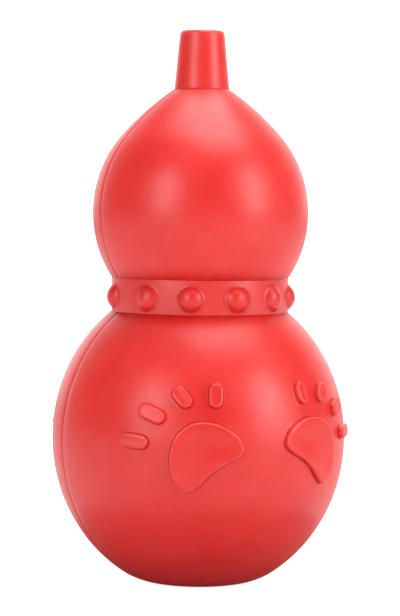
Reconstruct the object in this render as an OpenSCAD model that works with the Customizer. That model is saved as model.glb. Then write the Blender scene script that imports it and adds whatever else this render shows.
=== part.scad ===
// Gourd-shaped rubber chew toy: two bonded shells with raised paw prints, a studded
// collar in the waist, a plug-in stem and a reed squeaker in the foot.
// The toy stands on its foot. The front shell faces -Y and the seam lies in the XZ plane.

/* [Lower bulb] */
// Radius where the lower bulb is widest
low_r = 40; // [36:0.5:46]
// Half height of the egg that the lower bulb is cut from
low_rise = 43; // [40:0.5:48]
// Radius at which the foot plane would cut that egg
foot_cut_r = 15.3; // [13:0.1:18]
// Radius of the flat that the toy stands on
foot_r = 9.8; // [9.4:0.1:12]
// Radius where the rounded foot edge runs into the bulb
foot_edge_r = 21; // [19:0.5:25]

/* [Upper bulb] */
// Radius where the upper bulb is widest
up_r = 29.4; // [27:0.2:34]
// Half height of the egg that the upper bulb is cut from
up_rise = 31; // [29:0.5:36]
// Height of the stem's seat above the upper bulb's widest line
shoulder_rise = 33.5; // [31:0.5:36]
// Angle above the widest line at which the shoulder starts
shoulder_angle = 43; // [38:1:48]
// Length of the shoulder's bend, from the bulb to where its two tangents meet
shoulder_bend = 10.4; // [8:0.2:12]

/* [Rubber wall] */
// Thickness of the rubber wall
wall = 5; // [3.5:0.1:6]
// Width of the tongue that lines up the two shells
tongue_w = 1.6; // [1:0.1:2]
// Depth of the tongue
tongue_l = 1.6; // [1:0.1:2.5]
// Room for rubber cement all round the tongue
cement_gap = 0.1; // [0.05:0.05:0.2]

/* [Waist and collar] */
// Radius of both bulbs at the collar
waist_r = 24.1; // [23:0.1:25.5]
// Height of the groove that holds the collar
groove_h = 9.2; // [8.6:0.1:11]
// Depth of that groove
groove_d = 3.1; // [2.4:0.1:4]
// Rubber between the groove and the passage inside the waist
waist_wall = 5; // [4:0.1:8]
// Gap between the collar and the groove floor
collar_fit = 0.08; // [0.03:0.01:0.1]
// Gap above and below the collar
collar_gap = 0.2; // [0.1:0.05:0.4]
// Rounding of the collar's outer edges
collar_edge = 0.6; // [0.2:0.1:1]
// Diameter of a stud
stud_d = 7.2; // [5:0.1:7.8]
// Height of a stud over the collar
stud_h = 2; // [1:0.1:3]
// Depth to which a stud is rooted in the collar
stud_root = 1.5; // [0.5:0.1:2]
// Studs on the front half
front_studs = 5; // [3:1:5]
// Studs on the rear half
rear_studs = 6; // [3:1:6]
// Angle from one stud to the next on the front half
front_step = 30; // [26:1:32]
// Angle from one stud to the next on the rear half
rear_step = 33; // [26:1:34]

/* [Paw prints] */
// Height of the prints over the bulb
relief = 1.4; // [0.6:0.1:2]
// Depth to which the prints are rooted in the wall
relief_root = 1; // [0.5:0.1:2]
// Angle of each print from the middle of its shell
paw_turn = 22; // [20:1:26]
// Angle by which each print leans away from the middle
paw_lean = 37; // [0:1:45]
// Distance of the prints' centre below the widest line
paw_drop = 1.5; // [0:0.1:6]
// Width of the heel pad
pad_w = 20; // [16:0.5:22]
// Height of the heel pad
pad_h = 14.4; // [11:0.2:16]
// Distance from the centre of a print to its furthest toe
toe_reach = 18.4; // [17:0.2:19]
// Length of a toe
toe_l = 7; // [6:0.1:8.5]
// Width of a toe
toe_w = 3.6; // [3:0.1:5]

/* [Stem] */
// Height of the stem over its seat
stem_h = 15.9; // [12:0.1:22]
// Radius of the stem at its seat
stem_r = 7.5; // [7:0.1:8.2]
// Radius of the stem at its top
stem_top_r = 6; // [5:0.1:6.8]
// Rounding of the stem's top edge
stem_edge = 1.1; // [0.5:0.1:2]
// Radius of the bore in the neck
bore_r = 5.05; // [4.6:0.05:5.5]
// Length of the bore in the neck
bore_l = 16; // [13:0.5:18]
// Rubber round the bore, inside the cavity
sleeve_wall = 3.4; // [2.5:0.1:4]
// Gap between the shank's ribs and the bore
shank_fit = 0.05; // [0.02:0.01:0.1]
// Depth of the grooves between the ribs
rib_depth = 0.5; // [0.3:0.05:0.8]
// Ribs on the shank
ribs = 4; // [2:1:5]
// Length by which the shank stops short of the bore's end
shank_short = 0.6; // [0:0.1:2]
// Lead-in taper at the shank's tip
shank_lead = 1; // [0.5:0.1:1.5]

/* [Squeaker] */
// Outer radius of the squeaker's cup
cup_r = 7; // [6.6:0.05:7.1]
// Height of the cup
cup_h = 10; // [9:0.2:12]
// Wall of the cup
cup_wall = 1; // [0.8:0.1:1.2]
// Depth of the squeaker inside the foot
cup_recess = 0.8; // [0.3:0.1:1.5]
// Gap between the cup and its socket
socket_fit = 0.05; // [0.02:0.01:0.1]
// Height of the ring that keeps the cup in the rubber
barb_h = 0.6; // [0.3:0.1:0.8]
// Length of that ring
barb_l = 1.4; // [1:0.1:2]
// Rubber round the socket, inside the cavity
boss_wall = 4; // [3:0.2:5]
// Rubber lip above the cup
boss_lip = 1.6; // [1:0.1:2.5]
// Width of the lip that overhangs the cup
lip_w = 1.8; // [1:0.1:2.5]
// Thickness of the grille in the cup's mouth
cap_t = 1.2; // [0.8:0.1:1.6]
// Width of the ledge that the grille sits on
cap_ledge = 0.4; // [0.3:0.1:0.5]
// Radius of a sound hole in the grille
cap_hole_r = 0.8; // [0.5:0.05:1]
// Radius of an air inlet in the cup
inlet_r = 0.8; // [0.5:0.05:0.9]
// Ring on which the sound holes and inlets lie
hole_ring_r = 3.8; // [3.2:0.1:4.2]
// Thickness of the reed
reed_t = 0.25; // [0.15:0.05:0.35]
// Width of the reed
reed_w = 3.2; // [2.6:0.1:4]
// Length of the reed's free part
reed_free = 4.2; // [3.6:0.1:4.6]
// Length of the reed's root
reed_root = 1.3; // [0.8:0.1:1.4]
// Gap on each side of the reed's root
reed_gap = 0.15; // [0.12:0.01:0.2]
// Angle by which the bed falls away from the free reed
bed_slope = 6; // [5:0.5:8]
// Width of the air channel behind the reed
trough_w = 2.2; // [1.5:0.1:2.4]
// Depth of that channel
trough_d = 2.4; // [1:0.1:3]
// Length by which the reed covers the channel's end
reed_lap = 0.4; // [0.2:0.1:0.8]
// Gap round the pieces inside the cup
insert_fit = 0.05; // [0.02:0.01:0.1]

/* [Hidden] */
$fn = 96;

// Points that stand in for a curve
bulb_steps = 40;
bend_steps = 12;
edge_steps = 5;
pad_steps = 4;

// One length by which every cut runs past what it cuts
overrun = 1;

// The stretches of each bulb's egg that carry the tongue, in degrees above its widest line
tongue_low = [-45, 42];
tongue_up = [-25, 50];
// Sound holes and air inlets in a ring
ring_holes = 6;

// The waist
groove_r = waist_r - groove_d;
passage_r = groove_r - waist_wall;

// The outline in a plane through the axis
low_z = low_rise * sqrt(1 - pow(foot_cut_r / low_r, 2));
groove_z = low_z + low_rise * sqrt(1 - pow(waist_r / low_r, 2));
groove_top = groove_z + groove_h;
up_z = groove_top + up_rise * sqrt(1 - pow(waist_r / up_r, 2));
seat_z = up_z + shoulder_rise;
foot_edge_angle = -acos(foot_edge_r / low_r);
foot_edge_z = low_z + low_rise * sin(foot_edge_angle);
foot_edge_slope = low_rise / low_r * foot_edge_r / low_r / sqrt(1 - pow(foot_edge_r / low_r, 2));

// The cavity
cave_low_r = low_r - wall;
cave_low_rise = low_rise - wall;
cave_up_r = up_r - wall;
cave_up_rise = up_rise - wall;
floor_z = wall;
sleeve_r = bore_r + sleeve_wall;
sleeve_z = seat_z - bore_l;

// The squeaker's socket
socket_r = cup_r + socket_fit;
socket_top = cup_recess + cup_h + socket_fit;
barb_z = cup_recess + cup_h / 2;
boss_r = socket_r + boss_wall;
boss_top = socket_top + boss_lip;
cup_in_r = cup_r - cup_wall;
cap_r = cup_in_r + cap_ledge - insert_fit;
cap_top = cup_recess + cap_t;
cup_in_top = cup_recess + cup_h - cup_wall;
insert_z = cap_top + insert_fit;
insert_top = cup_in_top - insert_fit;
insert_r = cup_in_r - insert_fit;
slot_half = reed_t / 2 + reed_gap;
reed_pivot_z = insert_z + insert_fit + reed_root;
reed_top = reed_pivot_z + reed_free;

// The heel pad's right half: shares of its half width and of its height
pad_shares = [
    [0, -0.3], [0.24, -0.31], [0.54, -0.35], [0.79, -0.35], [0.93, -0.29], [1, -0.08],
    [0.95, 0.09], [0.79, 0.32], [0.55, 0.5], [0.27, 0.62], [0, 0.65]
];
// A toe: share of the reach, angle about the centre, angle of its own length, share of the length
toe_shares = [[1, 41, 47, 1], [0.94, 14, 30, 0.95], [0.89, -16, 4, 0.86], [0.87, -47, -38, 0.87]];

function arc(cz, rx, rz, from, to, steps) =
    [for (i = [0:steps]) let (a = from + (to - from) * i / steps) [rx * cos(a), cz + rz * sin(a)]];

function bend(a, b, c, steps) =
    [for (i = [1:steps]) let (t = i / steps) pow(1 - t, 2) * a + 2 * t * (1 - t) * b + t * t * c];

// A smooth closed curve that passes through all of its points
function closed(p, steps) =
    [for (i = [0:len(p) - 1], j = [0:steps - 1])
        let (
            t = j / steps,
            a = p[(i + len(p) - 1) % len(p)],
            b = p[i],
            c = p[(i + 1) % len(p)],
            d = p[(i + 2) % len(p)]
        )
        b + t / 2 * (c - a + t * (2 * a - 5 * b + 4 * c - d + t * (3 * b - a - 3 * c + d)))];

// All points but the first, where a curve goes on from another
function rest(p) = [for (i = [1:len(p) - 1]) p[i]];

function shoulder_start() = [up_r * cos(shoulder_angle), up_z + up_rise * sin(shoulder_angle)];

function shoulder_along() =
    let (t = [-up_r * sin(shoulder_angle), up_rise * cos(shoulder_angle)]) t / norm(t);

function outer_points() = concat(
    [[socket_r, 0], [foot_r, 0]],
    bend(
        [foot_r, 0], [foot_edge_r - foot_edge_z / foot_edge_slope, 0],
        [foot_edge_r, foot_edge_z], bend_steps
    ),
    rest(arc(low_z, low_r, low_rise, foot_edge_angle, acos(waist_r / low_r), bulb_steps)),
    [[groove_r, groove_z], [groove_r, groove_top]],
    arc(up_z, up_r, up_rise, -acos(waist_r / up_r), shoulder_angle, bulb_steps),
    bend(
        shoulder_start(), shoulder_start() + shoulder_bend * shoulder_along(),
        [stem_r, seat_z], bend_steps
    )
);

function cavity_points() = concat(
    [[bore_r, seat_z], [bore_r, sleeve_z], [sleeve_r, sleeve_z]],
    arc(up_z, cave_up_r, cave_up_rise, acos(sleeve_r / cave_up_r), -acos(passage_r / cave_up_r), bulb_steps),
    arc(
        low_z, cave_low_r, cave_low_rise, acos(passage_r / cave_low_r),
        -asin((low_z - floor_z) / cave_low_rise), bulb_steps
    ),
    [[boss_r, floor_z], [boss_r, boss_top], [socket_r - lip_w, boss_top], [socket_r - lip_w, socket_top]]
);

function socket_points() = [
    [socket_r, socket_top],
    [socket_r, barb_z + barb_l / 2 + socket_fit],
    [socket_r + barb_h, barb_z + barb_l / 2 + socket_fit],
    [socket_r + barb_h, barb_z - barb_l / 2 - socket_fit],
    [socket_r, barb_z - barb_l / 2 - socket_fit]
];

// Half of the hollow body, on the +Y side
module half_body() {
    rotate_extrude(angle = 180)
        polygon(concat(outer_points(), cavity_points(), socket_points()));
}

// A strip along the middle of the wall, between two angles of a bulb's egg
module wall_strip(cz, rx, rz, span, width) {
    polygon(concat(
        arc(cz, rx + width / 2, rz + width / 2, span[0], span[1], bulb_steps / 2),
        arc(cz, rx - width / 2, rz - width / 2, span[1], span[0], bulb_steps / 2)
    ));
}

// The tongue on the seam, or with a gap the groove that it enters
module tongue(gap) {
    mid = wall / 2;
    width = tongue_w + 2 * gap;
    rotate([90, 0, 0])
        translate([0, 0, -tongue_l - gap])
            linear_extrude(tongue_l + gap + overrun)
                for (side = [0, 1])
                    mirror([side, 0]) {
                        wall_strip(low_z, low_r - mid, low_rise - mid, tongue_low, width);
                        wall_strip(up_z, up_r - mid, up_rise - mid, tongue_up, width);
                    }
}

module toe(length, width) {
    reach = (length - width) / 2;
    translate([-width / 2, -reach])
        square([width, 2 * reach]);
    for (end = [-reach, reach])
        translate([0, end])
            circle(d = width);
}

module paw_outline() {
    half = [for (s = pad_shares) [s[0] * pad_w / 2, s[1] * pad_h]];
    last = len(half) - 1;
    other = [for (i = [1:last - 1]) [-half[last - i][0], half[last - i][1]]];
    polygon(closed(concat(half, other), pad_steps));
    for (s = toe_shares)
        rotate(s[1])
            translate([0, s[0] * toe_reach])
                rotate(s[2] - s[1])
                    toe(s[3] * toe_l, toe_w);
}

// The skin that stands over the lower bulb, as high as the prints reach
module relief_skin() {
    top = asin((toe_reach + toe_l) / low_rise);
    rotate_extrude()
        polygon(concat(
            arc(low_z, low_r + relief, low_rise + relief, -top, top, bulb_steps),
            arc(low_z, low_r - relief_root, low_rise - relief_root, top, -top, bulb_steps)
        ));
}

// The pair of prints on the -Y side
module paw_pair() {
    intersection() {
        relief_skin();
        for (side = [0, 1])
            mirror([side, 0, 0])
                rotate([0, 0, -paw_turn])
                    translate([0, 0, low_z - paw_drop])
                        rotate([90, 0, 0])
                            linear_extrude(low_r + relief + overrun)
                                rotate(paw_lean)
                                    paw_outline();
    }
}

module front_shell() {
    color("#e83e38") {
        rotate([0, 0, 180])
            half_body();
        paw_pair();
        tongue(0);
    }
}

module rear_shell() {
    color("#e23a35")
        difference() {
            union() {
                half_body();
                rotate([0, 0, 180])
                    paw_pair();
            }
            tongue(cement_gap);
        }
}

// A dome along +Z, cut from a ball that is as high as the stud over the stud's own circle
module stud() {
    r = stud_d / 2;
    ball_r = (r * r + stud_h * stud_h) / (2 * stud_h);
    intersection() {
        translate([0, 0, stud_h - ball_r])
            sphere(ball_r);
        translate([0, 0, -stud_root])
            cylinder(r = r, h = stud_root + stud_h + overrun);
    }
}

module stud_row(count, step, middle) {
    for (i = [0:count - 1])
        rotate([0, 0, middle + (i - (count - 1) / 2) * step])
            translate([waist_r, 0, 0])
                rotate([0, 90, 0])
                    stud();
}

module studded_collar() {
    in_r = groove_r + collar_fit;
    bottom = groove_z + collar_gap;
    top = groove_top - collar_gap;
    color("#ec4641") {
        rotate_extrude()
            polygon(concat(
                [[in_r, bottom]],
                [for (i = [0:edge_steps]) let (a = -90 + 90 * i / edge_steps)
                    [waist_r - collar_edge * (1 - cos(a)), bottom + collar_edge * (1 + sin(a))]],
                [for (i = [0:edge_steps]) let (a = 90 * i / edge_steps)
                    [waist_r - collar_edge * (1 - cos(a)), top - collar_edge * (1 - sin(a))]],
                [[in_r, top]]
            ));
        translate([0, 0, (bottom + top) / 2]) {
            stud_row(front_studs, front_step, -90);
            stud_row(rear_studs, rear_step, 90);
        }
    }
}

module stem_stopper() {
    rib_r = bore_r - shank_fit;
    tip_z = sleeve_z + shank_short;
    rib_step = (seat_z - tip_z - shank_lead) / ribs;
    top = seat_z + stem_h;
    color("#ee443f")
        rotate_extrude()
            polygon(concat(
                [[0, tip_z], [rib_r - shank_lead, tip_z]],
                [for (i = [0:ribs - 1], p = [
                    [rib_r, 0], [rib_r, rib_step / 3], [rib_r - rib_depth, rib_step / 2],
                    [rib_r - rib_depth, rib_step]
                ]) [p[0], tip_z + shank_lead + i * rib_step + p[1]]],
                [[stem_r, seat_z]],
                [for (i = [0:edge_steps]) let (a = 90 * i / edge_steps)
                    [stem_top_r - stem_edge * (1 - cos(a)), top - stem_edge * (1 - sin(a))]],
                [[0, top]]
            ));
}

module hole_ring(r, from, length) {
    for (i = [0:ring_holes - 1])
        rotate([0, 0, i * 360 / ring_holes])
            translate([hole_ring_r, 0, from])
                cylinder(r = r, h = length);
}

module squeaker_cup() {
    top = cup_recess + cup_h;
    ledge_r = cup_in_r + cap_ledge;
    color("#e9e7e1")
        difference() {
            rotate_extrude()
                polygon([
                    [ledge_r, cup_recess], [cup_r, cup_recess],
                    [cup_r, barb_z - barb_l / 2], [cup_r + barb_h, barb_z - barb_l / 2],
                    [cup_r + barb_h, barb_z], [cup_r, barb_z + barb_l / 2],
                    [cup_r, top], [0, top], [0, cup_in_top], [cup_in_r, cup_in_top],
                    [cup_in_r, cap_top], [ledge_r, cap_top]
                ]);
            hole_ring(inlet_r, cup_in_top - overrun, cup_wall + 2 * overrun);
        }
}

module squeaker_cap() {
    color("#f3f1ec")
        difference() {
            translate([0, 0, cup_recess])
                cylinder(r = cap_r, h = cap_t);
            hole_ring(cap_hole_r, cup_recess - overrun, cap_t + 2 * overrun);
            translate([0, 0, cup_recess - overrun])
                cylinder(r = cap_hole_r, h = cap_t + 2 * overrun);
        }
}

// A slice of the round insert whose side view is the given outline in Y and Z
module insert_slice(outline) {
    intersection() {
        translate([0, 0, insert_z])
            cylinder(r = insert_r, h = insert_top - insert_z);
        rotate([90, 0, 90])
            translate([0, 0, -cup_r])
                linear_extrude(2 * cup_r)
                    polygon(outline);
    }
}

module reed_bed() {
    fall = (insert_top - reed_pivot_z) * tan(bed_slope);
    color("#d9d6cd")
        difference() {
            insert_slice([
                [-cup_r, insert_z], [-slot_half, insert_z], [-slot_half, reed_pivot_z],
                [-slot_half - fall, insert_top], [-cup_r, insert_top]
            ]);
            translate([-trough_w / 2, -slot_half - trough_d, insert_z - overrun])
                cube([trough_w, trough_d + overrun, reed_top - reed_lap - insert_z + overrun]);
        }
}

module reed_wedge() {
    color("#cfccc3")
        insert_slice([
            [slot_half, insert_z], [cup_r, insert_z],
            [cup_r, reed_pivot_z], [slot_half, reed_pivot_z]
        ]);
}

module reed() {
    color("#f7f3df")
        translate([-reed_w / 2, -reed_t / 2, reed_pivot_z - reed_root])
            cube([reed_w, reed_t, reed_root + reed_free]);
}

front_shell();
rear_shell();
studded_collar();
stem_stopper();
squeaker_cup();
squeaker_cap();
reed_bed();
reed_wedge();
reed();
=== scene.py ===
import math

import bmesh
import bpy
from mathutils import Matrix, Vector
from mathutils.geometry import delaunay_2d_cdt, tessellate_polygon


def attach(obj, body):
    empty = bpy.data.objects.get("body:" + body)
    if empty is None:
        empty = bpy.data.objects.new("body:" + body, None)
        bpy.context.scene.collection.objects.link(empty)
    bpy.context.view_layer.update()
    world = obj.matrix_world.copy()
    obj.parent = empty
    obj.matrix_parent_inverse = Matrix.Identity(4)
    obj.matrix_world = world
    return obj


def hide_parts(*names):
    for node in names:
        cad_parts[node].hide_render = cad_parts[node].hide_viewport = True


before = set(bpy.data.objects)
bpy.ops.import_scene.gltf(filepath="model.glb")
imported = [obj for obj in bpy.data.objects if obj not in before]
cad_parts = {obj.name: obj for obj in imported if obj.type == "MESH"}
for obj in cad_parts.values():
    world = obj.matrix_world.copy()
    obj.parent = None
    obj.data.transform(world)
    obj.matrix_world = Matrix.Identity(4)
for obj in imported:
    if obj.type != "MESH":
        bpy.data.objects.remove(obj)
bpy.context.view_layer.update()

# The two shells. They are the front and rear halves of the hollow body, compression moulded in red natural
# rubber, each with a pair of raised paw prints. They are bonded with rubber cement along the upright seam,
# where a tongue on the front half enters a groove in the rear one. Sizes are millimetres up to the studio's.
low_r = 40
low_rise = 43
foot_cut_r = 15.3
foot_r = 9.8
foot_edge_r = 21
up_r = 29.4
up_rise = 31
shoulder_rise = 33.5
shoulder_angle = 43
shoulder_bend = 10.4
wall = 5
waist_r = 24.1
groove_h = 9.2
groove_r = 21
passage_r = 16
stem_r = 7.5
bore_r = 5.05
bore_l = 16
sleeve_r = 8.45
socket_r = 7.05
socket_top = 10.85
boss_r = 11.05
boss_top = 12.45
lip_r = 5.25
barb_r = 7.65
barb_low = 5.05
barb_high = 6.55
edge_round = 0.35
mouth_round = 0.06
skin_step = 1.0
cavity_step = 2.6
corner_steps = 4
foot_steps = 16
shoulder_steps = 22

low_z = low_rise * math.sqrt(1 - (foot_cut_r / low_r) ** 2)
groove_z = low_z + low_rise * math.sqrt(1 - (waist_r / low_r) ** 2)
groove_top = groove_z + groove_h
up_z = groove_top + up_rise * math.sqrt(1 - (waist_r / up_r) ** 2)
seat_z = up_z + shoulder_rise


def arc(centre_z, across, up, start, end, step):
    """Points of an upright ellipse about the axis, between two angles above its widest line."""
    turn = math.radians(end - start)
    count = max(2, round(abs(turn) * up / step))
    angles = [math.radians(start) + turn * i / count for i in range(count + 1)]
    return [Vector((across * math.cos(a), centre_z + up * math.sin(a))) for a in angles]


def bend(a, b, c, count):
    """Points of the curve from a to c that leaves and arrives along the lines through b, without a."""
    shares = [(i + 1) / count for i in range(count)]
    return [a * (1 - s) ** 2 + b * (2 * s * (1 - s)) + c * s * s for s in shares]


def soften(before, corner, after, size):
    """A corner of an outline, rounded over a length of size on both of its sides."""
    start = corner + (before - corner).normalized() * size
    end = corner + (after - corner).normalized() * size
    return [start] + bend(start, corner, end, corner_steps)


def above_widest(r, across):
    """Angle above an ellipse's widest line, in degrees, at which it has the radius r."""
    return math.degrees(math.acos(r / across))


foot_edge = Vector((foot_edge_r, low_z - low_rise * math.sqrt(1 - (foot_edge_r / low_r) ** 2)))
foot_slope = low_rise / low_r * foot_edge_r / low_r / math.sqrt(1 - (foot_edge_r / low_r) ** 2)
foot_corner = Vector((foot_edge_r - foot_edge.y / foot_slope, 0))
foot_end = Vector((foot_r, 0))
low_skin = arc(
    low_z, low_r, low_rise, -above_widest(foot_edge_r, low_r), above_widest(waist_r, low_r), skin_step,
)
up_skin = arc(up_z, up_r, up_rise, -above_widest(waist_r, up_r), shoulder_angle, skin_step)
shoulder_way = Vector((
    -up_r * math.sin(math.radians(shoulder_angle)),
    up_rise * math.cos(math.radians(shoulder_angle)),
)).normalized()
shoulder_corner = up_skin[-1] + shoulder_way * shoulder_bend
shoulder = bend(up_skin[-1], shoulder_corner, Vector((stem_r, seat_z)), shoulder_steps)
groove_low = Vector((groove_r, groove_z))
groove_high = Vector((groove_r, groove_top))
neck_mouth = Vector((bore_r, seat_z))
neck_end = Vector((bore_r, seat_z - bore_l))

skin = (
    soften(Vector((socket_r, wall)), Vector((socket_r, 0)), foot_end, edge_round)
    + [foot_end]
    + bend(foot_end, foot_corner, foot_edge, foot_steps)
    + low_skin[1:-1]
    + soften(low_skin[-2], low_skin[-1], groove_low, mouth_round)
    + [groove_low, groove_high]
    + soften(groove_high, up_skin[0], up_skin[1], mouth_round)
    + up_skin[1:]
    + shoulder[:-1]
    + soften(shoulder[-2], shoulder[-1], neck_mouth, edge_round)
)
cavity = (
    soften(shoulder[-1], neck_mouth, neck_end, edge_round)
    + [neck_end, Vector((sleeve_r, neck_end.y))]
    + arc(
        up_z, up_r - wall, up_rise - wall,
        above_widest(sleeve_r, up_r - wall), -above_widest(passage_r, up_r - wall), cavity_step,
    )
    + arc(
        low_z, low_r - wall, low_rise - wall, above_widest(passage_r, low_r - wall),
        -math.degrees(math.asin((low_z - wall) / (low_rise - wall))), cavity_step,
    )
    + [Vector(p) for p in (
        (boss_r, wall), (boss_r, boss_top), (lip_r, boss_top), (lip_r, socket_top), (socket_r, socket_top),
        (socket_r, barb_high), (barb_r, barb_high), (barb_r, barb_low), (socket_r, barb_low),
    )]
)
outline = skin + cavity

# Each half's edge is pulled in over its last half millimetre, which leaves the seam a fine V. Each step is
# its distance from the seam and the pull
seam_steps = [(0, 0.30), (0.12, 0.15), (0.26, 0.04), (0.46, 0)]
seam_turn = 0.88
seam_angles = [seam_turn * i for i in range(len(seam_steps))]
first_angle = 4
plain_count = 117
plain_angles = [first_angle + (180 - 2 * first_angle) * i / (plain_count - 1) for i in range(plain_count)]
columns = (
    [(angle, *step) for angle, step in zip(seam_angles, seam_steps)]
    + [(angle, None, 0) for angle in plain_angles]
    + [(180 - angle, *step) for angle, step in reversed(list(zip(seam_angles, seam_steps)))]
)


def turned(row, column):
    """The front half's point for a row, or point of the outline, and a column from -X round to +X."""
    angle, from_seam, pull = columns[column]
    here = outline[row]
    if row < len(skin):
        along = outline[row + 1] - outline[max(row - 1, 0)]
        here = here - Vector((along.y, -along.x)).normalized() * pull
    y = here.x * math.sin(math.radians(angle))
    if from_seam is not None:
        y = min(y, from_seam)
    side = -1 if angle < 90 else 1
    return Vector((side * math.sqrt(here.x ** 2 - y ** 2), -y, here.y))


# A corner of an outline that turns by this many degrees is fully sharp
sharp_turn = 30


def sharpness(points, i):
    """How sharply a counterclockwise outline turns at a point, from -1 in a corner to 1 on a rim."""
    a, b, c = (points[(i + k) % len(points)] for k in (-1, 0, 1))
    return max(-1, min(1, -math.degrees((b - a).angle_signed(c - b)) / sharp_turn))


# The prints' outlines, in a plane square to the radius through each print's middle. In the photo the one on
# the +X side, 1 here, is lower and has shorter toes than the other's mirror image, and stands further out
paw_turn = {-1: 22, 1: 24.4}
paw_drop = {-1: 1.5, 1: 0.8}
pad_w = {-1: 20, 1: 20.8}
pad_h = {-1: 14.4, 1: 13.35}
toe_reach = {-1: 18.4, 1: 17.7}
toe_l = {-1: 7, 1: 6.2}
toe_w = 3.6
paw_lean = 37
relief = 1.4
pad_steps = 10
toe_end_steps = 18
toe_side_steps = 6
pad_shares = [
    (0, -0.3), (0.24, -0.31), (0.54, -0.35), (0.79, -0.35), (0.93, -0.29), (1, -0.08),
    (0.95, 0.09), (0.79, 0.32), (0.55, 0.5), (0.27, 0.62), (0, 0.65),
]
toe_shares = [(1, 41, 47, 1), (0.94, 14, 30, 0.95), (0.89, -16, 4, 0.86), (0.87, -47, -38, 0.87)]


def swung(point, angle):
    """A point of a plane, turned about its origin, counterclockwise in degrees."""
    a = math.radians(angle)
    x = point.x * math.cos(a) - point.y * math.sin(a)
    y = point.x * math.sin(a) + point.y * math.cos(a)
    return Vector((x, y))


def smooth_loop(points, count):
    """A smooth closed curve that passes through all of its points."""
    loop = []
    for i in range(len(points)):
        a, b, c, d = (points[(i + k) % len(points)] for k in (-1, 0, 1, 2))
        for j in range(count):
            t = j / count
            loop.append(b + (c - a + (2 * a - 5 * b + 4 * c - d + (3 * b - a - 3 * c + d) * t) * t) * (t / 2))
    return loop


def toe_loop(length):
    """The outline of a toe that lies along the plane's upright, counterclockwise."""
    reach = (length - toe_w) / 2
    loop = []
    for middle, start in ((reach, 0), (-reach, 180)):
        for i in range(toe_end_steps + 1):
            a = math.radians(start + 180 * i / toe_end_steps)
            loop.append(Vector((toe_w / 2 * math.cos(a), middle + toe_w / 2 * math.sin(a))))
        for i in range(1, toe_side_steps):
            loop.append(Vector((loop[-1].x, middle * (1 - 2 * i / toe_side_steps))))
    return loop


def print_outlines(side):
    """The outlines of the pad and the toes of the print on a side."""
    half_pad = [Vector((x * pad_w[side] / 2, y * pad_h[side])) for x, y in pad_shares]
    pad_points = half_pad + [Vector((-p.x, p.y)) for p in reversed(half_pad[1:-1])]
    loops = [smooth_loop(pad_points, pad_steps)]
    for reach, bearing, own, length in toe_shares:
        toe_middle = swung(Vector((0, reach * toe_reach[side])), bearing)
        loops.append([toe_middle + swung(p, own) for p in toe_loop(length * toe_l[side])])
    return loops


print_loops = {side: print_outlines(side) for side in (-1, 1)}
loop_middles = {}
loop_reaches = {}
for side, loops in print_loops.items():
    loop_middles[side] = [sum(loop, Vector((0, 0))) / len(loop) for loop in loops]
    loop_reaches[side] = [max((p - m).length for p in loop) for loop, m in zip(loops, loop_middles[side])]

# Across a print's edge come a fillet at its root, a steep side and a rounded rim. Each step is its distance
# outside the outline, its height and its edge value, which is negative at the root for painted shade and
# positive on the rim for a painted highlight
root_round = 0.35
rim_round = 0.55
steepest = math.radians(80)
dish = 0.55
dish_run = 5.0
toe_dish = 0.16
toe_dish_run = 1.3
side_run = (relief - (root_round + rim_round) * (1 - math.cos(steepest))) / math.tan(steepest)
root = []
rim = []
for share in (0, 0.35, 0.7, 1):
    over = math.sin(steepest) - math.sin(steepest * share)
    drop = 1 - math.cos(steepest * share)
    edge = math.sin(2 * steepest * share)
    root.append((side_run / 2 + root_round * over, root_round * drop, -edge))
    rim.insert(0, (-side_run / 2 - rim_round * over, relief - rim_round * drop, edge))
edge_out = root[0][0]
edge_in = rim[-1][0]

# The dish starts inside the rim with two rings of points of its own, and the skin's grid keeps clear of these
top_rings = (0.35, 0.8)
top_clear = 1.2
skin_clear = 0.35
search_clear = 3


def beyond(point, side):
    """Distance of a point outside the nearest outline, negative inside it, and that outline's number."""
    found = (math.inf, 0)
    for number, loop in enumerate(print_loops[side]):
        if (point - loop_middles[side][number]).length > loop_reaches[side][number] + search_clear:
            continue
        near = min((point - p).length for p in loop)
        inside = False
        for a, b in zip(loop, loop[1:] + loop[:1]):
            if (a.y > point.y) != (b.y > point.y):
                if point.x < a.x + (b.x - a.x) * (point.y - a.y) / (b.y - a.y):
                    inside = not inside
        found = min(found, (-near if inside else near, number))
    return found


def top_height(distance, number):
    """Height of a print's slightly dished top at a distance outside outline number, which is negative."""
    depth, run = (toe_dish, toe_dish_run) if number else (dish, dish_run)
    share = min(1, max(0, (edge_in - distance) / run))
    return relief - depth * share * share * (3 - 2 * share)


def spot_of(point, side):
    """A print's point as longitude from the shell's middle and angle above the widest line, in radians."""
    leaned = swung(point, paw_lean)
    up = math.asin((leaned.y - paw_drop[side]) / low_rise)
    across = math.asin(leaned.x / (low_r * math.cos(up)))
    return Vector((side * (math.radians(paw_turn[side]) - across), up))


def point_of(spot, side):
    """The point of a print's plane that lies over a place on the bulb."""
    across = math.radians(paw_turn[side]) - side * spot.x
    height = low_rise * math.sin(spot.y) + paw_drop[side]
    leaned = Vector((low_r * math.cos(spot.y) * math.sin(across), height))
    return swung(leaned, -paw_lean)


def over_bulb(spot, height):
    """The point over a place on the lower bulb, at a height along its outward direction."""
    out = Vector((math.cos(spot.y) / low_r, math.sin(spot.y) / low_rise)).normalized()
    r = low_r * math.cos(spot.y) + out.x * height
    z = low_z + low_rise * math.sin(spot.y) + out.y * height
    return Vector((r * math.sin(spot.x), -r * math.cos(spot.x), z))


# The prints' region of the skin, by its lowest and highest angle and its reach to each side of the middle
region_low = -24
region_high = 31
region_side = 61
rows = len(outline)


def row_at(angle):
    """The row of the lower bulb's skin nearest to an angle above its widest line."""
    z = low_z + low_rise * math.sin(math.radians(angle))
    return min(range(len(skin)), key=lambda i: abs(skin[i].y - z))


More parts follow.
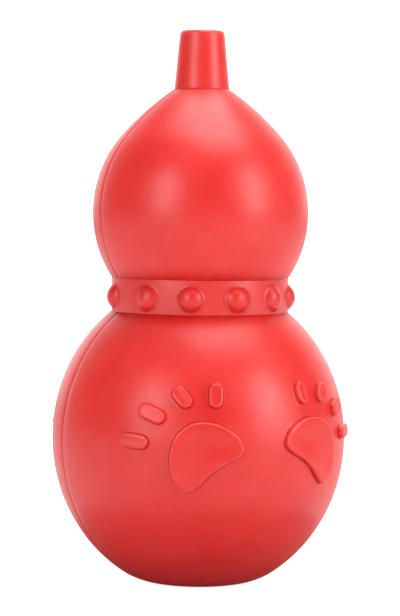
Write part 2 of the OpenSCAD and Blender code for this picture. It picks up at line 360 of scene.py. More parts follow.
row_low = row_at(region_low)
row_high = row_at(region_high)
column_low = min(range(len(columns)), key=lambda k: abs(columns[k][0] - 90 + region_side))
column_high = len(columns) - 1 - column_low


def print_region():
    """Points with edge values, and faces, of the prints' region. A point is a grid index or a place."""
    flat = []
    made = []
    for i in range(row_low, row_high + 1):
        for k in range(column_low, column_high + 1):
            spot = Vector((math.radians(columns[k][0] - 90), math.asin((outline[i].y - low_z) / low_rise)))
            side = -1 if spot.x < 0 else 1
            distance, number = beyond(point_of(spot, side), side)
            border = i in (row_low, row_high) or k in (column_low, column_high)
            if border or distance > edge_out + skin_clear:
                flat.append(spot)
                made.append((i * len(columns) + k, 0))
            elif distance < edge_in - top_clear:
                flat.append(spot)
                made.append((over_bulb(spot, top_height(distance, number)), 0))
    links = []
    for side in (-1, 1):
        for number, loop in enumerate(print_loops[side]):
            neighbours = zip(loop[-1:] + loop[:-1], loop[1:] + loop[:1])
            ways = [(b - a).orthogonal().normalized() for a, b in neighbours]
            inner = [(edge_in - d, top_height(edge_in - d, number), 0) for d in top_rings]
            for distance, height, edge in root + rim + inner:
                first = len(flat)
                for p, way in zip(loop, ways):
                    spot = spot_of(p - way * distance, side)
                    flat.append(spot)
                    made.append((over_bulb(spot, height), edge))
                links += [(first + i, first + (i + 1) % len(loop)) for i in range(len(loop))]
    scaled = [Vector((spot.x * low_r, spot.y * low_rise)) for spot in flat]
    places, _, faces, sources, _, _ = delaunay_2d_cdt(scaled, links, [], 0, 1e-5)
    points = []
    for place, source in zip(places, sources):
        if source:
            points.append(made[source[0]])
        else:
            spot = Vector((place.x / low_r, place.y / low_rise))
            side = -1 if spot.x < 0 else 1
            points.append((over_bulb(spot, top_height(*beyond(point_of(spot, side), side))), 0))
    return points, faces


# The tongue lies along the middle of the wall: (centre, radius, rise, lowest and highest angle)
tongue_w = 1.6
tongue_l = 1.6
cement_gap = 0.1
tongue_step = 3
tongue_runs = [
    (low_z, low_r - wall / 2, low_rise - wall / 2, -45, 42),
    (up_z, up_r - wall / 2, up_rise - wall / 2, -25, 50),
]


def tongue_loops(width):
    """The tongue's outlines in the seam plane, counterclockwise."""
    loops = []
    for centre, r, rise, start, end in tongue_runs:
        outer = arc(centre, r + width / 2, rise + width / 2, start, end, tongue_step)
        loops.append(outer + arc(centre, r - width / 2, rise - width / 2, end, start, tongue_step))
    return loops


def seam_face(points, faces, side, width, depth):
    """Closes a half at the seam on the side -1 or 1, with a tongue, or a groove where depth is negative."""
    column = 0 if side < 0 else len(columns) - 1
    border = [i * len(columns) + column for i in range(rows)]
    first = len(points)
    loops = tongue_loops(width)
    for loop in loops:
        points += [(Vector((side * p.x, 0, p.y)), 0) for p in loop]
    names = border + list(range(first, len(points)))
    flat = [[Vector((abs(points[n][0].x), points[n][0].z, 0)) for n in border]]
    flat += [[Vector((p.x, p.y, 0)) for p in loop] for loop in loops]
    faces += [[names[n] for n in face] for face in tessellate_polygon(flat)]
    for loop in loops:
        base = list(range(first, first + len(loop)))
        first += len(loop)
        top = list(range(len(points), len(points) + len(loop)))
        points += [(Vector((side * p.x, depth, p.y)), 0) for p in loop]
        faces += [[base[i - 1], base[i], top[i], top[i - 1]] for i in range(len(loop))]
        cover = tessellate_polygon([[Vector((p.x, p.y, 0)) for p in loop]])
        faces += [[top[n] for n in face] for face in cover]


# Edges that bend by more than this many degrees are shaded sharp
smooth_angle = 38


def finish_mesh(mesh):
    """Turns a closed mesh's faces outwards, and shades it smooth between its sharp edges."""
    work = bmesh.new()
    work.from_mesh(mesh)
    bmesh.ops.recalc_face_normals(work, faces=work.faces)
    work.to_mesh(mesh)
    work.free()
    mesh.shade_smooth()
    mesh.set_sharp_from_angle(angle=math.radians(smooth_angle))


# How dark the painted shade lies in the seam's V, and round the groove's mouths over a few millimetres of the
# bulbs
seam_painted_shade = 3
crease_painted_shade = 0.85
crease_run = 4
crease_fade = 1.5
crease_share = 0.3


def shell(name, print_points, print_faces, width, depth, turn):
    """A finished half of the body as an object. A turn of -1 puts it at the rear."""
    points = []
    for i in range(rows):
        # The edge value paints rims paler and corners darker, and near the groove and at the seam it goes
        # down as painted shade
        edge = sharpness(outline, i) if i < len(skin) else 0
        to_groove = max(groove_z - outline[i].y, outline[i].y - groove_top, 0)
        if i < len(skin) and outline[i].x > groove_r and to_groove < crease_run:
            crease = crease_painted_shade * (1 - to_groove / crease_run) ** crease_fade
            edge = min(edge, 0) * crease_share - crease
        for k, (_, _, pull) in enumerate(columns):
            points.append((turned(i, k), edge - pull * seam_painted_shade))
    faces = []
    for i in range(rows):
        for k in range(len(columns) - 1):
            if not (row_low <= i < row_high and column_low <= k < column_high):
                a, b = i * len(columns) + k, (i + 1) % rows * len(columns) + k
                faces.append([a, a + 1, b + 1, b])
    names = []
    for place, edge in print_points:
        if isinstance(place, int):
            names.append(place)
        else:
            names.append(len(points))
            points.append((place, edge))
    faces += [[names[n] for n in face] for face in print_faces]
    for side in (-1, 1):
        seam_face(points, faces, side, width, depth)
    work = bmesh.new()
    layer = work.verts.layers.float.new("edge")
    made = []
    for place, edge in points:
        made.append(work.verts.new((turn * place.x / 1000, turn * place.y / 1000, place.z / 1000)))
        made[-1][layer] = max(-1, min(1, edge))
    for face in faces:
        work.faces.new([made[n] for n in face])
    bmesh.ops.delete(work, geom=[v for v in work.verts if not v.link_faces], context="VERTS")
    mesh = bpy.data.meshes.new(name)
    work.to_mesh(mesh)
    work.free()
    finish_mesh(mesh)
    made_object = bpy.data.objects.new(name, mesh)
    bpy.context.scene.collection.objects.link(made_object)
    return made_object


def linear(code):
    """An sRGB hex colour as the linear values that the shaders take."""
    parts = [int(code[i:i + 2], 16) / 255 for i in (1, 3, 5)]
    return [c / 12.92 if c <= 0.04045 else ((c + 0.055) / 1.055) ** 2.4 for c in parts] + [1]


def add(tree, kind, inputs, **settings):
    """Adds a node with its settings, and links or sets its inputs by name or number."""
    made = tree.nodes.new(kind)
    for name, value in settings.items():
        setattr(made, name, value)
    for name, value in inputs.items():
        if isinstance(value, bpy.types.NodeSocket):
            tree.links.new(value, made.inputs[name])
        else:
            made.inputs[name].default_value = value
    return made.outputs


# Numbers of the two colours among a mixing node's inputs, and of the colour among its outputs
mix_first = 6
mix_second = 7
mix_colour = 2


def moulded_rubber(name, body, deep, bloom_and_rim_highlight, offset):
    """Satin red natural rubber, as it leaves a blasted steel mould. The eye gets broad soft highlights that
    waver a little, a slight cloudiness of the pigment and a trace of chalky bloom. Rims are painted paler, a
    painted highlight, and corners, creases and the seam are painted darker, painted shade."""
    material = bpy.data.materials.new(name)
    material.use_nodes = True
    tree = material.node_tree
    tree.nodes.clear()
    place = add(tree, "ShaderNodeTexCoord", {})["Object"]
    place = add(tree, "ShaderNodeMapping", {"Vector": place, "Location": offset})["Vector"]
    # Clouds of pigment about 16 mm wide
    cloud = add(tree, "ShaderNodeTexNoise", {
        "Vector": place, "Scale": 1000 / 16, "Detail": 3, "Roughness": 0.55,
    })["Fac"]
    cloud = add(tree, "ShaderNodeMapRange", {"Value": cloud, "From Min": 0.3, "From Max": 0.7})["Result"]
    colour = add(tree, "ShaderNodeMix", {
        "Factor": cloud, mix_first: linear(deep), mix_second: linear(body),
    }, data_type="RGBA")[mix_colour]
    # Bloom in faint patches about 5 mm wide
    bloom = add(tree, "ShaderNodeTexNoise", {
        "Vector": place, "Scale": 1000 / 5, "Detail": 5, "Roughness": 0.6,
    })["Fac"]
    bloom = add(tree, "ShaderNodeMapRange", {
        "Value": bloom, "From Min": 0.5, "From Max": 0.8, "To Max": 0.06,
    })["Result"]
    colour = add(tree, "ShaderNodeMix", {
        "Factor": bloom, mix_first: colour, mix_second: linear(bloom_and_rim_highlight),
    }, data_type="RGBA")[mix_colour]
    # Rims painted paler towards the pale colour, a painted highlight
    edge = add(tree, "ShaderNodeAttribute", {}, attribute_name="edge")["Fac"]
    rim_highlight = add(tree, "ShaderNodeMapRange", {
        "Value": edge, "From Min": 0.1, "From Max": 1, "To Max": 0.16,
    })["Result"]
    colour = add(tree, "ShaderNodeMix", {
        "Factor": rim_highlight, mix_first: colour, mix_second: linear(bloom_and_rim_highlight),
    }, data_type="RGBA")[mix_colour]
    # Corners, creases and the seam painted darker towards a dark red, painted shade
    dark = add(tree, "ShaderNodeMapRange", {
        "Value": edge, "From Min": -0.1, "From Max": -1, "To Max": 0.55,
    })["Result"]
    colour = add(tree, "ShaderNodeMix", {
        "Factor": dark, mix_first: colour, mix_second: linear("#8f0f0b"),
    }, data_type="RGBA")[mix_colour]
    # Waves of the hand-finished mould about 10 mm wide, and the blasted grain, at 0.5 mm so that it shows
    wave = add(tree, "ShaderNodeTexNoise", {"Vector": place, "Scale": 1000 / 10, "Detail": 1})["Fac"]
    grain = add(tree, "ShaderNodeTexNoise", {"Vector": place, "Scale": 1000 / 0.5, "Detail": 2})["Fac"]
    normal = add(tree, "ShaderNodeBump", {"Height": wave, "Strength": 0.6, "Distance": 0.00006})["Normal"]
    normal = add(tree, "ShaderNodeBump", {
        "Height": grain, "Strength": 0.5, "Distance": 0.00001, "Normal": normal,
    })["Normal"]
    gloss = add(tree, "ShaderNodeMapRange", {"Value": cloud, "To Min": 0.35, "To Max": 0.41})["Result"]
    # Dust in the corners takes off their gloss
    # Corners, creases and the seam lose some of their gloss, painted shade in their reflection
    shine = add(tree, "ShaderNodeMapRange", {
        "Value": edge, "From Min": -0.8, "From Max": 0, "To Min": 0.1, "To Max": 0.5,
    })["Result"]
    surface = add(tree, "ShaderNodeBsdfPrincipled", {
        "Base Color": colour, "Roughness": gloss, "IOR": 1.52, "Normal": normal, "Specular IOR Level": shine,
        "Subsurface Weight": 0.1, "Subsurface Radius": (1, 0.25, 0.15), "Subsurface Scale": 0.0015,
    })["BSDF"]
    add(tree, "ShaderNodeOutputMaterial", {"Surface": surface})
    return material


prints = print_region()
front_shell = shell("front_rubber_shell", *prints, tongue_w, tongue_l, 1)
rear_shell = shell("rear_rubber_shell", *prints, tongue_w + 2 * cement_gap, -tongue_l - cement_gap, -1)
shell_rubber = moulded_rubber("satin red moulded natural rubber", "#d11f19", "#ca1b15", "#f08a80", (0, 0, 0))
for half, node in ((front_shell, "front_shell"), (rear_shell, "rear_shell")):
    half.data.materials.append(shell_rubber)
    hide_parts(node)
    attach(half, "shell")

# The squeaker. It is a small polypropylene cup, pressed into the foot from below and held by a ring round it.
# Inside, a polyester reed is clamped between a bed with an air channel and a wedge. A grille with seven holes
# closes its mouth. Cup, bed, wedge and reed keep their solids, and the grille's edges are broken.
cap_r = 6.35
cap_low = 0.8
cap_high = 2.0
cap_break = 0.15
hole_r = 0.8
hole_ring_r = 3.8
ring_holes = 6
rim_sides = 96
hole_sides = 32
break_angle = 50
weld = 0.002


def piece_from(mesh, tree, name, edge_break, **values):
    """Takes a mesh through a tree with its named inputs set, breaks its edges, and leaves a plain mesh."""
    piece = bpy.data.objects.new(name, mesh)
    bpy.context.scene.collection.objects.link(piece)
    modifier = piece.modifiers.new(name, "NODES")
    modifier.node_group = tree
    for socket in tree.interface.items_tree:
        if socket.in_out == "INPUT" and socket.name in values:
            modifier[socket.identifier] = values[socket.name]
    if edge_break:
        bevel = piece.modifiers.new("broken edges", "BEVEL")
        bevel.width = edge_break / 1000
        bevel.segments = 1
        bevel.limit_method = "ANGLE"
        bevel.angle_limit = math.radians(break_angle)
    bpy.context.view_layer.update()
    plain = bpy.data.meshes.new_from_object(piece.evaluated_get(bpy.context.evaluated_depsgraph_get()))
    piece.modifiers.clear()
    piece.data = plain
    finish_mesh(plain)
    return piece


def grille_tree():
    """Geometry Nodes that fill a round plate, leave a ring of holes and one in the middle, and thicken it."""
    tree = bpy.data.node_groups.new("ring of holes", "GeometryNodeTree")
    for name in ("Rim", "Ring", "Hole", "Low", "Thickness"):
        tree.interface.new_socket(name, in_out="INPUT", socket_type="NodeSocketFloat")
    tree.interface.new_socket("Holes", in_out="INPUT", socket_type="NodeSocketInt")
    tree.interface.new_socket("Material", in_out="INPUT", socket_type="NodeSocketMaterial")
    tree.interface.new_socket("Piece", in_out="OUTPUT", socket_type="NodeSocketGeometry")
    given = add(tree, "NodeGroupInput", {})
    rim = add(tree, "GeometryNodeCurvePrimitiveCircle", {
        "Resolution": rim_sides, "Radius": given["Rim"],
    })["Curve"]
    hole = add(tree, "GeometryNodeCurvePrimitiveCircle", {
        "Resolution": hole_sides, "Radius": given["Hole"],
    })["Curve"]
    ring = add(tree, "GeometryNodeMeshCircle", {"Vertices": given["Holes"], "Radius": given["Ring"]})[0]
    middle = add(tree, "GeometryNodeMeshLine", {"Count": 1})[0]
    places = tree.nodes.new("GeometryNodeJoinGeometry")
    for part in (ring, middle):
        tree.links.new(part, places.inputs[0])
    holes = add(tree, "GeometryNodeInstanceOnPoints", {"Points": places.outputs[0], "Instance": hole})[0]
    holes = add(tree, "GeometryNodeRealizeInstances", {"Geometry": holes})[0]
    outlines = tree.nodes.new("GeometryNodeJoinGeometry")
    for part in (rim, holes):
        tree.links.new(part, outlines.inputs[0])
    base = add(tree, "GeometryNodeFillCurve", {"Curve": outlines.outputs[0]})[0]
    raised = add(tree, "GeometryNodeExtrudeMesh", {
        "Mesh": base, "Offset": (0, 0, 1), "Offset Scale": given["Thickness"], "Individual": False,
    })["Mesh"]
    under = add(tree, "GeometryNodeFlipFaces", {"Mesh": base})[0]
    plate = tree.nodes.new("GeometryNodeJoinGeometry")
    for part in (under, raised):
        tree.links.new(part, plate.inputs[0])
    closed = add(tree, "GeometryNodeMergeByDistance", {
        "Geometry": plate.outputs[0], "Distance": weld / 1000,
    })[0]
    lift = add(tree, "ShaderNodeCombineXYZ", {"Z": given["Low"]})[0]
    placed = add(tree, "GeometryNodeTransform", {"Geometry": closed, "Translation": lift})[0]
    real = add(tree, "GeometryNodeRealizeInstances", {"Geometry": placed})[0]
    clad = add(tree, "GeometryNodeSetMaterial", {"Geometry": real, "Material": given["Material"]})[0]
    add(tree, "NodeGroupOutput", {"Piece": clad})
    return tree


def moulded_plastic(name, light, shade, grain_mm):
    """Off-white moulded plastic. The eye gets a soft waxy gloss, faint clouds and a fine mould grain."""
    material = bpy.data.materials.new(name)
    material.use_nodes = True
    tree = material.node_tree
    tree.nodes.clear()
    place = add(tree, "ShaderNodeTexCoord", {})["Object"]
    cloud = add(tree, "ShaderNodeTexNoise", {"Vector": place, "Scale": 1000 / 4, "Detail": 3})["Fac"]
    cloud = add(tree, "ShaderNodeMapRange", {"Value": cloud, "From Min": 0.35, "From Max": 0.65})["Result"]
    colour = add(tree, "ShaderNodeMix", {
        "Factor": cloud, mix_first: linear(shade), mix_second: linear(light),
    }, data_type="RGBA")[mix_colour]
    grain = add(tree, "ShaderNodeTexNoise", {"Vector": place, "Scale": 1000 / grain_mm, "Detail": 2})["Fac"]
    normal = add(tree, "ShaderNodeBump", {"Height": grain, "Strength": 0.4, "Distance": 0.00002})["Normal"]
    gloss = add(tree, "ShaderNodeMapRange", {"Value": grain, "To Min": 0.36, "To Max": 0.5})["Result"]
    surface = add(tree, "ShaderNodeBsdfPrincipled", {
        "Base Color": colour, "Roughness": gloss, "IOR": 1.49, "Normal": normal,
        "Subsurface Weight": 0.15, "Subsurface Radius": (1, 0.9, 0.8), "Subsurface Scale": 0.0008,
    })["BSDF"]
    add(tree, "ShaderNodeOutputMaterial", {"Surface": surface})
    return material


cup_plastic = moulded_plastic("off-white moulded polypropylene", "#ebe9e2", "#dedbd1", 0.3)
film = moulded_plastic("frosted polyester strip", "#f2efdf", "#e6e1cb", 0.15)
for name in ("squeaker_cup", "reed_bed", "reed_wedge", "reed"):
    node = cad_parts[name]
    node.data.materials.clear()
    node.data.materials.append(film if name == "reed" else cup_plastic)
grille = piece_from(
    bpy.data.meshes.new("grille"), grille_tree(), "squeaker_grille", cap_break, Holes=ring_holes,
    Rim=cap_r / 1000, Ring=hole_ring_r / 1000, Hole=hole_r / 1000, Low=cap_low / 1000,
    Thickness=(cap_high - cap_low) / 1000, Material=cup_plastic,
)
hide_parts("squeaker_cap")
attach(grille, "shell")

# The studded collar. It is a ring of the same red rubber, moulded by itself and stretched over the upper bulb
# into the groove round the waist, where it can turn. Its domed studs are moulded with it, five on the front
# half 30 degrees apart, and six on the rear one 33 degrees apart.
collar_r = 21.08
collar_gap = 0.02
collar_low = groove_z + collar_gap
collar_high = groove_top - collar_gap
collar_round = 0.1
stud_d = 6.9
stud_h = 2
stud_fillet = 0.7
stud_sink = 1.5
front_studs = 5
front_step = 30
rear_studs = 6
rear_step = 33
stud_drop = 0.5
dome_steps = 12
stud_sides = 48
stud_light_and_shade = 0.3
collar_sides = 192
sweep_r = 10


def drawn(name, points, closed):
    """A mesh of an outline, drawn flat as radius and height, that also says how sharply it turns."""
    mesh = bpy.data.meshes.new(name)
    links = [(i, i + 1) for i in range(len(points) - 1)] + [(len(points) - 1, 0)] * closed
    mesh.from_pydata([(p.x / 1000, p.y / 1000, 0) for p in points], links, [])
    # How sharply it turns is kept as the edge value, which the rubber paints paler on rims as a painted
    # highlight and darker in corners as painted shade
    edges = mesh.attributes.new("edge", "FLOAT", "POINT")
    for i in range(len(points)):
        inside = closed or 0 < i < len(points) - 1
        edges.data[i].value = sharpness(points, i) if inside else 0
    return mesh


def turning_tree():
    """Geometry Nodes that turn an outline, drawn flat as radius and height, round the upright axis."""
    tree = bpy.data.node_groups.new("turned outline", "GeometryNodeTree")
    tree.interface.new_socket("Outline", in_out="INPUT", socket_type="NodeSocketGeometry")
    tree.interface.new_socket("Sides", in_out="INPUT", socket_type="NodeSocketInt")
    tree.interface.new_socket("Path", in_out="INPUT", socket_type="NodeSocketFloat")
    tree.interface.new_socket("Material", in_out="INPUT", socket_type="NodeSocketMaterial")
    tree.interface.new_socket("Piece", in_out="OUTPUT", socket_type="NodeSocketGeometry")
    given = add(tree, "NodeGroupInput", {})
    path = add(tree, "GeometryNodeCurvePrimitiveCircle", {
        "Resolution": given["Sides"], "Radius": given["Path"],
    })["Curve"]
    inward = add(tree, "ShaderNodeMath", {0: 0, 1: given["Path"]}, operation="SUBTRACT")[0]
    shift = add(tree, "ShaderNodeCombineXYZ", {"X": inward})[0]
    profile = add(tree, "GeometryNodeMeshToCurve", {"Mesh": given["Outline"]})[0]
    profile = add(tree, "GeometryNodeTransform", {
        "Geometry": profile, "Translation": shift, "Rotation": (math.pi, 0, 0),
    })[0]
    skin = add(tree, "GeometryNodeCurveToMesh", {"Curve": path, "Profile Curve": profile})[0]
    closed = add(tree, "GeometryNodeMergeByDistance", {"Geometry": skin, "Distance": weld / 1000})[0]
    real = add(tree, "GeometryNodeRealizeInstances", {"Geometry": closed})[0]
    clad = add(tree, "GeometryNodeSetMaterial", {"Geometry": real, "Material": given["Material"]})[0]
    add(tree, "NodeGroupOutput", {"Piece": clad})
    return tree


turning = turning_tree()
collar_rubber = moulded_rubber(
    "satin red rubber of the collar", "#cf201b", "#c81c17", "#f29087", (0.3, 0.1, 0),
)


def stud_mesh():
    """One stud, whose foot lies flat in XZ and whose dome rises along +Y."""
    r = stud_d / 2
    ball_r = (r * r + stud_h * stud_h) / (2 * stud_h)
    reach = math.asin(r / ball_r)
    turns = [reach * (i + 1) / dome_steps for i in range(dome_steps)]
    section = [Vector((ball_r * math.sin(a), stud_h - ball_r * (1 - math.cos(a)))) for a in turns]
    foot = section.pop()
    section += soften(section[-1], foot, foot + Vector((1, 0)), stud_fillet)
    section.append(Vector((section[-1].x, -stud_sink)))
    points = [(0, stud_h / 1000, 0)]
    edges = [0]
    for i, p in enumerate(section):
        # Part of the turn is kept as the edge value, for paler rims and darker corners on the stud, painted
        # highlight and painted shade
        sharp = sharpness(section, i) * stud_light_and_shade if 0 < i < len(section) - 2 else 0
        for j in range(stud_sides):
            a = math.tau * j / stud_sides
            points.append((p.x * math.cos(a) / 1000, p.y / 1000, p.x * math.sin(a) / 1000))
            edges.append(sharp)
    faces = [(0, 1 + j, 1 + (j + 1) % stud_sides) for j in range(stud_sides)]
    for i in range(len(section) - 1):
        first = 1 + i * stud_sides
        for j in range(stud_sides):
            a, b = first + j, first + (j + 1) % stud_sides
            faces.append((a, b, b + stud_sides, a + stud_sides))
    faces.append([1 + (len(section) - 1) * stud_sides + j for j in range(stud_sides)])
    mesh = bpy.data.meshes.new("stud")
    mesh.from_pydata(points, [], faces)
    mesh.attributes.new("edge", "FLOAT", "POINT").data.foreach_set("value", edges)
    return mesh


def stud_tree():
    """Geometry Nodes that lay studs in a row and wrap the row round a band."""
    tree = bpy.data.node_groups.new("studs round a band", "GeometryNodeTree")
    tree.interface.new_socket("Stud", in_out="INPUT", socket_type="NodeSocketGeometry")
    tree.interface.new_socket("Count", in_out="INPUT", socket_type="NodeSocketInt")
    tree.interface.new_socket("Step", in_out="INPUT", socket_type="NodeSocketFloat")
    tree.interface.new_socket("First", in_out="INPUT", socket_type="NodeSocketFloat")
    tree.interface.new_socket("Radius", in_out="INPUT", socket_type="NodeSocketFloat")
    tree.interface.new_socket("Height", in_out="INPUT", socket_type="NodeSocketFloat")
    tree.interface.new_socket("Material", in_out="INPUT", socket_type="NodeSocketMaterial")
    tree.interface.new_socket("Piece", in_out="OUTPUT", socket_type="NodeSocketGeometry")
    given = add(tree, "NodeGroupInput", {})
    apart = add(tree, "ShaderNodeMath", {0: given["Step"], 1: given["Radius"]}, operation="MULTIPLY")[0]
    apart = add(tree, "ShaderNodeCombineXYZ", {"X": apart})[0]
    row = add(tree, "GeometryNodeMeshLine", {"Count": given["Count"], "Offset": apart})[0]
    studs = add(tree, "GeometryNodeInstanceOnPoints", {"Points": row, "Instance": given["Stud"]})[0]
    studs = add(tree, "GeometryNodeRealizeInstances", {"Geometry": studs})[0]
    flat = add(tree, "ShaderNodeSeparateXYZ", {0: add(tree, "GeometryNodeInputPosition", {})[0]})
    angle = add(tree, "ShaderNodeMath", {0: flat["X"], 1: given["Radius"]}, operation="DIVIDE")[0]
    angle = add(tree, "ShaderNodeMath", {0: angle, 1: given["First"]})[0]
    out = add(tree, "ShaderNodeMath", {0: flat["Y"], 1: given["Radius"]})[0]
    cosine = add(tree, "ShaderNodeMath", {0: angle}, operation="COSINE")[0]
    sine = add(tree, "ShaderNodeMath", {0: angle}, operation="SINE")[0]
    x = add(tree, "ShaderNodeMath", {0: out, 1: cosine}, operation="MULTIPLY")[0]
    y = add(tree, "ShaderNodeMath", {0: out, 1: sine}, operation="MULTIPLY")[0]
    z = add(tree, "ShaderNodeMath", {0: flat["Z"], 1: given["Height"]})[0]
    place = add(tree, "ShaderNodeCombineXYZ", {"X": x, "Y": y, "Z": z})[0]
    wrapped = add(tree, "GeometryNodeSetPosition", {"Geometry": studs, "Position": place})[0]
    real = add(tree, "GeometryNodeRealizeInstances", {"Geometry": wrapped})[0]
    clad = add(tree, "GeometryNodeSetMaterial", {"Geometry": real, "Material": given["Material"]})[0]
    add(tree, "NodeGroupOutput", {"Piece": clad})
    return tree


def joined(piece, *others):
    """Adds the meshes of other objects of the same material to a piece, and removes those objects."""
    work = bmesh.new()
    for part in (piece, *others):
        work.from_mesh(part.data)
    work.to_mesh(piece.data)
    work.free()
    for part in others:
        bpy.data.objects.remove(part)


band_corners = [Vector(p) for p in (
    (collar_r, collar_low), (waist_r, collar_low), (waist_r, collar_high), (collar_r, collar_high),
)]
band = [band_corners[0]]
band += soften(band_corners[0], band_corners[1], band_corners[2], collar_round)
band += soften(band_corners[1], band_corners[2], band_corners[3], collar_round)
band.append(band_corners[3])
collar = piece_from(
    drawn("band", band, True), turning, "studded_rubber_collar", 0,
    Sides=collar_sides, Path=sweep_r / 1000, Material=collar_rubber,
)
stud = stud_mesh()
studding = stud_tree()
rows_of_studs = []
for name, count, step, middle in (
    ("front studs", front_studs, front_step, -90), ("rear studs", rear_studs, rear_step, 90),
):
    rows_of_studs.append(piece_from(
        stud, studding, name, 0, Count=count, Step=math.radians(step),
        First=math.radians(middle - (count - 1) / 2 * step), Radius=waist_r / 1000,
        Height=((collar_low + collar_high) / 2 - stud_drop) / 1000, Material=collar_rubber,
    ))
joined(collar, *rows_of_studs)
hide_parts("studded_collar")
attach(collar, "collar")

# The stem. It is a tapered stopper of the same red rubber with a flat top and a rounded rim, turned over a
# ribbed shank that is pressed into the neck. The sharp line round its foot is where it sits on the shoulder.
stem_h = 15.9
stem_top_r = 6
stem_edge = 1.1
stem_foot_round = 0.12
shank_r = 4.5
rib_r = 5.0
ribs = 4
shank_lead = 1
shank_short = 0.6
tip_z = neck_end.y + shank_short
tip_round = 0.3
taper_steps = 12
top_steps = 5
stem_sides = 160
rib_sides = 96
rib_round = 0.2
rib_rise = 0.3
rib_sink = 0.4
stem_rubber = moulded_rubber("satin red rubber of the stem", "#d1211b", "#ca1c17", "#f29088", (0.1, 0.4, 0.2))


def rib_tree():
    """Geometry Nodes that stand rings over each other at equal steps."""
    tree = bpy.data.node_groups.new("ribs up a shank", "GeometryNodeTree")
    tree.interface.new_socket("Rib", in_out="INPUT", socket_type="NodeSocketGeometry")
    tree.interface.new_socket("Count", in_out="INPUT", socket_type="NodeSocketInt")
    tree.interface.new_socket("Step", in_out="INPUT", socket_type="NodeSocketFloat")
    tree.interface.new_socket("Material", in_out="INPUT", socket_type="NodeSocketMaterial")
    tree.interface.new_socket("Piece", in_out="OUTPUT", socket_type="NodeSocketGeometry")
    given = add(tree, "NodeGroupInput", {})
    apart = add(tree, "ShaderNodeCombineXYZ", {"Z": given["Step"]})[0]
    row = add(tree, "GeometryNodeMeshLine", {"Count": given["Count"], "Offset": apart})[0]
    rings = add(tree, "GeometryNodeInstanceOnPoints", {"Points": row, "Instance": given["Rib"]})[0]
    real = add(tree, "GeometryNodeRealizeInstances", {"Geometry": rings})[0]
    clad = add(tree, "GeometryNodeSetMaterial", {"Geometry": real, "Material": given["Material"]})[0]
    add(tree, "NodeGroupOutput", {"Piece": clad})
    return tree


stem_top = seat_z + stem_h
stem_rim = Vector((stem_top_r, stem_top))
stem_foot = Vector((stem_r, seat_z))
tip = Vector((shank_r, tip_z))
stem_points = [Vector((0, tip_z))]
stem_points += soften(stem_points[0], tip, Vector((shank_r, seat_z)), tip_round)
stem_points.append(Vector((shank_r, seat_z)))
stem_points += soften(stem_points[-1], stem_foot, stem_rim, stem_foot_round)
stem_points += [stem_foot.lerp(stem_rim, i / taper_steps) for i in range(1, taper_steps - 1)]
stem_points += soften(stem_foot, stem_rim, Vector((0, stem_top)), stem_edge)
stem_points += [Vector((stem_top_r * (1 - i / top_steps), stem_top)) for i in range(1, top_steps)]
stem_points.append(Vector((0, stem_top)))
stem = piece_from(
    drawn("stem", stem_points, False), turning, "rubber_stem", 0,
    Sides=stem_sides, Path=sweep_r / 1000, Material=stem_rubber,
)
rib_step = (seat_z - tip_z - shank_lead) / ribs
rib_z = tip_z + shank_lead
rib_low = Vector((rib_r, rib_z))
rib_high = Vector((rib_r, rib_z + rib_step / 3))
rib_end = Vector((shank_r, rib_z + rib_step / 2))
rib_points = [Vector((shank_r - rib_sink, rib_z - rib_rise)), Vector((shank_r, rib_z - rib_rise))]
rib_points += soften(rib_points[-1], rib_low, rib_high, rib_round)
rib_points += soften(rib_points[-1], rib_high, rib_end, rib_round)
rib_points += [rib_end, rib_end - Vector((rib_sink, 0))]
rib = piece_from(
    drawn("rib", rib_points, True), turning, "rib", 0,
    Sides=rib_sides, Path=sweep_r / 1000, Material=stem_rubber,
)
rib_row = piece_from(
    rib.data, rib_tree(), "rib row", 0, Count=ribs, Step=rib_step / 1000, Material=stem_rubber,
)
joined(stem, rib_row)
bpy.data.objects.remove(rib)
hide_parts("stem_stopper")
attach(stem, "stopper")

# The studio. The toy stands on a white floor before a white backdrop, which glow but don't light it. A grey
# table in the floor's place gives its foot a weak bounce and glows a little as a fill light. A dark disc
# under the toy, seen only in reflections, is a painted shadow that the foot mirrors where the floor would lie
# in the toy's shade. Two soft boxes and a wide one overhead light it, and the grey room, bright beyond the
# toy, pales its rims.
def sheet_of(name, points, faces, colour, glow):
    """A stage surface of matt card, which may glow."""
    mesh = bpy.data.meshes.new(name)
    mesh.from_pydata(points, [], faces)
    surface = bpy.data.objects.new(name, mesh)
    bpy.context.scene.collection.objects.link(surface)
    card = bpy.data.materials.new(name + " card")
    card.use_nodes = True
    shader = card.node_tree.nodes["Principled BSDF"]
    shader.inputs["Base Color"].default_value = linear(colour)
    shader.inputs["Roughness"].default_value = 0.9
    shader.inputs["Specular IOR Level"].default_value = 0.1
    shader.inputs["Emission Color"].default_value = (1, 1, 1, 1)
    shader.inputs["Emission Strength"].default_value = glow
    mesh.materials.append(card)
    return surface


# Sizes from here on are metres. The camera turns and tilts by degrees, and rolls by radians
room = 6
table_z = -0.0005
shadow_sheet_z = -0.0004
shadow_sheet_r = 0.062
shadow_sheet_sides = 64
lamp_aim = Vector((0, 0, 0.075))
camera_spot = (0.0001, -0.63, 0.1058)
camera_azimuth = -24.5
camera_tilt = -2.81
camera_roll = 0.0103
corners = [(-room, -room, 0), (room, -room, 0), (room, room, 0), (-room, room, 0)]
table = sheet_of("grey table", [(x, y, table_z) for x, y, _ in corners], [(0, 1, 2, 3)], "#dadada", 0.15)
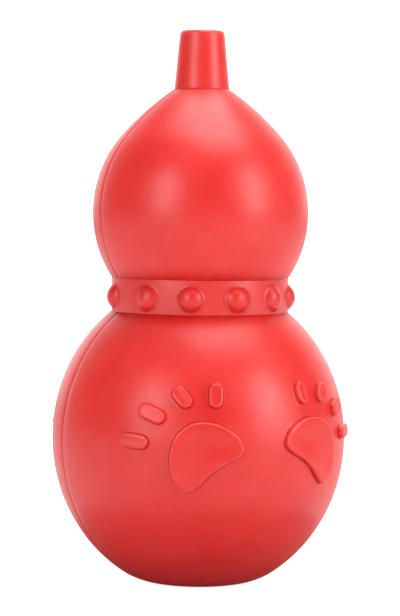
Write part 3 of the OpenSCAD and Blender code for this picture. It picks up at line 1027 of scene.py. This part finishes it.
# The dark disc is a painted shadow, seen only in the foot's reflections
shadow_sheet_angles = [math.tau * i / shadow_sheet_sides for i in range(shadow_sheet_sides)]
shadow_sheet_edge = [(shadow_sheet_r * math.cos(a), shadow_sheet_r * math.sin(a), shadow_sheet_z) for a in shadow_sheet_angles]
shadow_sheet = sheet_of("dark mat", shadow_sheet_edge, [list(range(shadow_sheet_sides))], "#8c8c8c", 0)
table.visible_camera = False
shadow_sheet.visible_camera = False
shadow_sheet.visible_diffuse = False
floor = sheet_of("white floor", corners, [(0, 1, 2, 3)], "#e8e8e8", 0.85)
wall_tops = [(x, y, room) for x, y, _ in corners]
wall_faces = [(i, (i + 1) % 4, (i + 1) % 4 + 4, i + 4) for i in range(4)]
backdrop = sheet_of("white backdrop", corners + wall_tops, wall_faces, "#ffffff", 1.1)
for surface in (floor, backdrop):
    surface.visible_diffuse = False
    surface.visible_glossy = False
    surface.visible_transmission = False
    surface.visible_shadow = False

walls = bpy.data.worlds.new("studio walls")
walls.use_nodes = True
wall_tree = walls.node_tree
wall_tree.nodes.clear()
# The room brightens smoothly towards one direction beyond the toy
direction = add(wall_tree, "ShaderNodeTexCoord", {})["Generated"]
beyond_toy = (0.415, 0.91, 0)
towards = add(wall_tree, "ShaderNodeVectorMath", {0: direction, 1: beyond_toy}, operation="DOT_PRODUCT")
bright = add(wall_tree, "ShaderNodeMapRange", {
    "Value": towards["Value"], "From Min": 0.45, "From Max": 0.95, "To Min": 0.335, "To Max": 1.95,
}, interpolation_type="SMOOTHSTEP")["Result"]
wall_light = add(wall_tree, "ShaderNodeBackground", {"Color": (1, 1, 1, 1), "Strength": bright})[0]
add(wall_tree, "ShaderNodeOutputWorld", {"Surface": wall_light})
bpy.context.scene.world = walls


def soft_box(name, azimuth, elevation, distance, width, height, glow):
    """A rectangular lamp that faces the toy's middle. Azimuth 0 stands before the front shell."""
    lamp = bpy.data.lights.new(name, "AREA")
    lamp.shape = "RECTANGLE"
    lamp.size = width
    lamp.size_y = height
    lamp.energy = glow * math.pi * width * height
    holder = bpy.data.objects.new(name, lamp)
    a, e = math.radians(azimuth), math.radians(elevation)
    way = Vector((math.sin(a) * math.cos(e), -math.cos(a) * math.cos(e), math.sin(e)))
    holder.location = lamp_aim + way * distance
    holder.rotation_euler = way.to_track_quat("Z", "Y").to_euler()
    holder.visible_camera = False
    bpy.context.scene.collection.objects.link(holder)


soft_box("left soft box", azimuth=-62.5, elevation=20, distance=1.3, width=0.5, height=0.75, glow=6.4)
soft_box("right soft box", azimuth=36.5, elevation=20, distance=1.3, width=0.5, height=0.8, glow=7.9)
soft_box("overhead soft box", azimuth=99, elevation=82, distance=1.4, width=1.4, height=1.1, glow=4.8)

# The camera's place, angles and lens were fitted to the toy's outline in the photo
lens = bpy.data.cameras.new("camera")
lens.sensor_width = 36
lens.lens = 134.68
lens.clip_start = 0.01
camera = bpy.data.objects.new("camera", lens)
around = Matrix.Rotation(math.radians(camera_azimuth), 4, "Z")
stand = Matrix.Translation(camera_spot)
tilt = Matrix.Rotation(math.radians(90 + camera_tilt), 4, "X")
roll = Matrix.Rotation(camera_roll, 4, "Z")
camera.matrix_world = around @ stand @ tilt @ roll
bpy.context.scene.collection.objects.link(camera)
bpy.context.scene.camera = camera
bpy.context.scene.view_settings.view_transform = "Standard"
